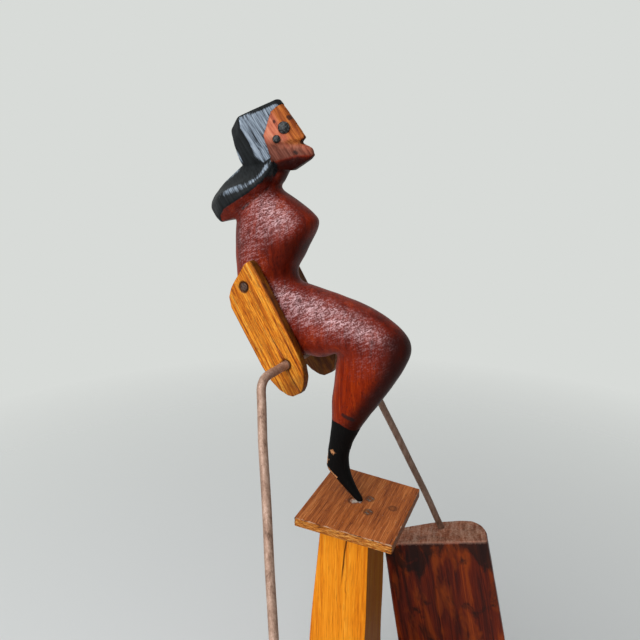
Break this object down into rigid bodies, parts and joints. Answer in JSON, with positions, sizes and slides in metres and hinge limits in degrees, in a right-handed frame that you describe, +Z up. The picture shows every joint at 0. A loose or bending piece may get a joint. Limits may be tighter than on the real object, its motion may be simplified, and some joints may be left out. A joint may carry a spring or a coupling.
{
  "type": "balance toy",
  "caption": "Carved wooden figure poised on one toe on a small platform, kept upright by wooden weights that hang from a bent wire.",
  "frame": {"origin": "centre of the underside of the base", "axes": "+Z up; the platform's sides lie along X and Y, and the figure faces +X, turned six degrees to its right"},
  "size_m": [0.0963, 0.1308, 0.2772],
  "materials": {
    "base_wood": "oiled",
    "post_wood": "satin varnish",
    "platform_wood": "worn varnish",
    "carving_wood": "varnished, with black paint on hair and boot",
    "slat_wood": "satin varnish",
    "weight_wood": "dark varnish",
    "old_wire": "oxidised",
    "dark_steel": "rusted dark",
    "bare_steel": "bare",
    "black_tack": "gloss black"
  },
  "bodies": {
    "stand": {"base": "base_wood", "base_screw": "bare_steel", "post": "post_wood", "platform": "platform_wood", "platform_nails": "dark_steel"},
    "point": {"pivot_point": "bare_steel"},
    "cap": {"pivot_cap": "bare_steel"},
    "balancer": {"figure": "carving_wood", "eye_tacks": "black_tack", "ear_tacks": "black_tack", "right_hip_slat": "slat_wood", "left_hip_slat": "slat_wood", "right_hip_nail": "dark_steel", "left_hip_nail": "dark_steel", "balance_wire": "old_wire", "right_weight": "weight_wood", "left_weight": "weight_wood"}
  },
  "joints": [
    {"name": "toe_turn", "type": "hinge", "parent": "stand", "child": "point", "pos_m": [0, 0, 0.16135], "axis": [0, 0, 1], "continuous": true},
    {"name": "toe_rock", "type": "hinge", "parent": "point", "child": "cap", "pos_m": [0, 0, 0.16135], "axis": [0.9945, -0.1045, 0], "range_deg": [-12, 12]},
    {"name": "toe_nod", "type": "hinge", "parent": "cap", "child": "balancer", "pos_m": [0, 0, 0.16135], "axis": [0.1045, 0.9945, 0], "range_deg": [-15, 15]}
  ]
}
